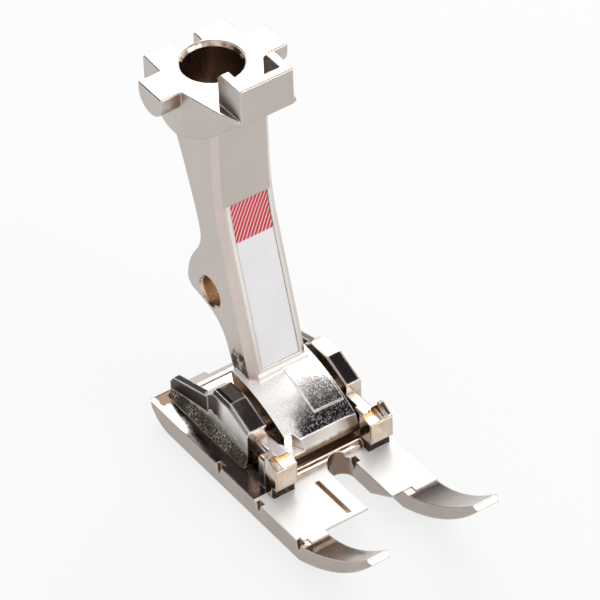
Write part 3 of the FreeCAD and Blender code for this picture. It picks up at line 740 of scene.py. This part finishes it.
class FOOT_OT_label(bpy.types.Operator):
    """Builds the printed strip in the shank's front"""

    bl_idname = "foot.label"
    bl_label = "Label"

    def execute(self, context):
        build_effects()
        s = context.scene.foot_label
        piece = rounded(casting_of("label", "label_strip"))
        mat, tree, shader = new_material("printed_film")
        shader.inputs["Roughness"].default_value = 0.38
        shader.inputs["Specular IOR Level"].default_value = 0.4
        place = put(tree, "ShaderNodeTexCoord").outputs["Object"]
        xyz = put(tree, "ShaderNodeSeparateXYZ", {0: place}).outputs
        across = maths(tree, "SUBTRACT",
                       maths(tree, "MULTIPLY", xyz["X"], math.sin(s.slant) / s.pitch),
                       maths(tree, "MULTIPLY", xyz["Z"], math.cos(s.slant) / s.pitch))
        wave = maths(tree, "PINGPONG", across, 0.5)
        line = ramp(tree, wave, 0.10, 0.22, 1.0, 0.0)
        border, soft = LABEL_HIGH * MM - s.field_height, 0.03 * MM
        inside = ramp(tree, xyz["Z"], border - soft, border + soft)
        field = blend_colour(tree, line, tuple(s.field), tuple(s.line))
        cloud = put(tree, "ShaderNodeTexNoise", {"Vector": place, "Scale": 300.0, "Detail": 3.0})
        film = blend_colour(tree, ramp(tree, cloud.outputs["Fac"], 0.3, 0.7, 0.0, 0.35),
                            tuple(s.film), tuple(c * 0.9 for c in s.film))
        tree.links.new(blend_colour(tree, inside, film, field), shader.inputs["Base Color"])
        fine = put(tree, "ShaderNodeTexNoise", {"Vector": place, "Scale": 6000.0})
        bump = put(tree, "ShaderNodeBump", {"Height": fine.outputs["Fac"], "Distance": 0.000003})
        tree.links.new(bump.outputs["Normal"], shader.inputs["Normal"])
        piece.data.materials.append(mat)
        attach(piece, "shank_unit")
        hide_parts("label")
        return {"FINISHED"}


def facing(location):
    """Rotation that points an object's -Z from a place at the foot."""
    return (MIDDLE - location).to_track_quat("-Z", "Y")


def aimed(azimuth, elevation, distance):
    """A place at a compass angle from behind the foot (0 is +Y, 90 is +X) and a height."""
    a, e = math.radians(azimuth), math.radians(elevation)
    return Vector((math.sin(a) * math.cos(e), math.cos(a) * math.cos(e), math.sin(e))) * distance


class FOOT_OT_studio(bpy.types.Operator):
    """Builds the table, the lamps, the dark cards, the surroundings and the camera"""

    bl_idname = "foot.studio"
    bl_label = "Studio"

    def white_for_looks(self, tree, surface, strength, keep=0.0):
        """Shows white to the camera and in the plating, and the given surface to all else.

        keep: the share of the surface that the camera and the plating still see, as its shadow.
        """
        path = put(tree, "ShaderNodeLightPath").outputs
        seen = maths(tree, "MAXIMUM", path["Is Camera Ray"],
                     maths(tree, "MAXIMUM", path["Is Glossy Ray"], path["Is Transmission Ray"]))
        seen = maths(tree, "MULTIPLY", seen, 1.0 - keep)
        white = put(tree, "ShaderNodeEmission" if keep else "ShaderNodeBackground",
                    {"Color": WHITE, "Strength": strength})
        return put(tree, "ShaderNodeMixShader", {0: seen, 1: surface, 2: white.outputs[0]})

    def card_face(self, name, colour):
        """A plain glowing face for a card."""
        mat, tree, _ = new_material(name)
        tree.nodes.clear()
        glow = put(tree, "ShaderNodeEmission", {"Color": tuple(colour), "Strength": 1.0})
        put(tree, "ShaderNodeOutputMaterial", {"Surface": glow.outputs[0]})
        return mat

    def execute(self, context):
        scene = context.scene
        s = scene.foot_studio
        scene.view_settings.view_transform = "Standard"

        # world
        world = bpy.data.worlds.new("room")
        scene.world = world
        world.use_nodes = True
        tree = world.node_tree
        tree.nodes.clear()
        plain = put(tree, "ShaderNodeBackground", {"Color": WHITE, "Strength": s.room})
        mix = self.white_for_looks(tree, plain.outputs[0], 1.0)
        put(tree, "ShaderNodeOutputWorld", {"Surface": mix.outputs[0]})

        # table
        bpy.ops.object.select_all(action="DESELECT")
        bpy.ops.mesh.primitive_plane_add(size=6.0, location=(0.0, 0.0, 0.0))
        table = bpy.context.active_object
        table.name = "table"
        bpy.ops.object.transform_apply(location=True, rotation=True, scale=True)
        mat, tree, shader = new_material("table_top")
        shader.inputs["Base Color"].default_value = (*s.table, 1.0)
        shader.inputs["Roughness"].default_value = 0.9
        mix = self.white_for_looks(tree, shader.outputs[0], 0.985, keep=0.22)
        tree.links.new(mix.outputs[0], tree.nodes["Material Output"].inputs["Surface"])
        table.data.materials.append(mat)

        # lamps
        for name, place, size, bright in (
                ("back_lamp", aimed(36, 41, s.distance), (0.42, 0.30), s.back_lamp),
                ("key_lamp", aimed(147, 36, s.distance), (0.36, 0.16), s.key_lamp)):
            bpy.ops.object.light_add(type="AREA", location=place)
            lamp = bpy.context.active_object
            lamp.name = name
            lamp.rotation_mode = "QUATERNION"
            lamp.rotation_quaternion = facing(place)
            lamp.data.shape = "RECTANGLE"
            lamp.data.size, lamp.data.size_y = size
            lamp.data.energy = bright * math.pi * size[0] * size[1]

        # cards that only the plating sees
        dark = self.card_face("dark_card", s.card)
        grey = self.card_face("grey_card", s.horizon)
        for name, place, size, face in (
                ("card_above", Vector((0.27, -0.108, 0.40)), (0.25, 0.375), dark),
                ("card_back_left", aimed(-42, 30, 0.5), (0.42, 0.36), dark),
                ("card_horizon", aimed(18, 6, 0.7), (0.95, 0.16), grey)):
            bpy.ops.object.select_all(action="DESELECT")
            bpy.ops.mesh.primitive_plane_add(size=1.0, location=place)
            flag = bpy.context.active_object
            flag.name = name
            if name == "card_above":
                flag.rotation_euler.z = math.radians(-14.0)
            else:
                flag.rotation_mode = "QUATERNION"
                flag.rotation_quaternion = facing(place)
            flag.scale = (size[0], size[1], 1.0)
            flag.data.materials.append(face)
            flag.visible_camera = flag.visible_diffuse = flag.visible_shadow = False
            flag.visible_transmission = False

        # camera, at the photograph's own viewing angle
        bpy.ops.object.camera_add()
        eye = bpy.context.active_object
        eye.name = "camera"
        right, up = (0.818640, -0.573410, -0.032086), (0.395096, 0.521759, 0.756086)
        back, place = (-0.416806, -0.631640, 0.653685), (-0.203662, -0.303081, 0.337635)
        eye.matrix_world = Matrix((*zip(right, up, back, place), (0.0, 0.0, 0.0, 1.0)))
        eye.data.sensor_width = 36.0
        eye.data.lens = 326.4
        eye.data.clip_start, eye.data.clip_end = 0.02, 20.0
        scene.camera = eye
        return {"FINISHED"}


class FOOT_PT_panel(bpy.types.Panel):
    """Sizes and colours of the presser foot"""

    bl_idname = "FOOT_PT_panel"
    bl_label = "Presser foot"
    bl_space_type = "VIEW_3D"
    bl_region_type = "UI"
    bl_category = "Presser Foot"

    def draw(self, context):
        for operator in PIECES + (FOOT_OT_studio,):
            self.layout.operator(operator.bl_idname)
        for name in GROUPS:
            settings = getattr(context.scene, name)
            box = self.layout.box()
            for key in settings.__annotations__:
                box.prop(settings, key)


PIECES = (FOOT_OT_sole, FOOT_OT_pin, FOOT_OT_shank, FOOT_OT_label)
GROUPS = {"foot_plating": FootPlating, "foot_label": FootLabel, "foot_studio": FootStudio}


def register():
    for kind in (*GROUPS.values(), *PIECES, FOOT_OT_studio, FOOT_PT_panel):
        bpy.utils.register_class(kind)
    for name, kind in GROUPS.items():
        setattr(bpy.types.Scene, name, PointerProperty(type=kind))


def unregister():
    for name in GROUPS:
        delattr(bpy.types.Scene, name)
    for kind in reversed((*GROUPS.values(), *PIECES, FOOT_OT_studio, FOOT_PT_panel)):
        bpy.utils.unregister_class(kind)


def main():
    register()
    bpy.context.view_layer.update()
    bpy.ops.foot.sole()
    bpy.ops.foot.pin()
    bpy.ops.foot.shank()
    bpy.ops.foot.label()
    bpy.ops.foot.studio()


if __name__ == "__main__":
    main()
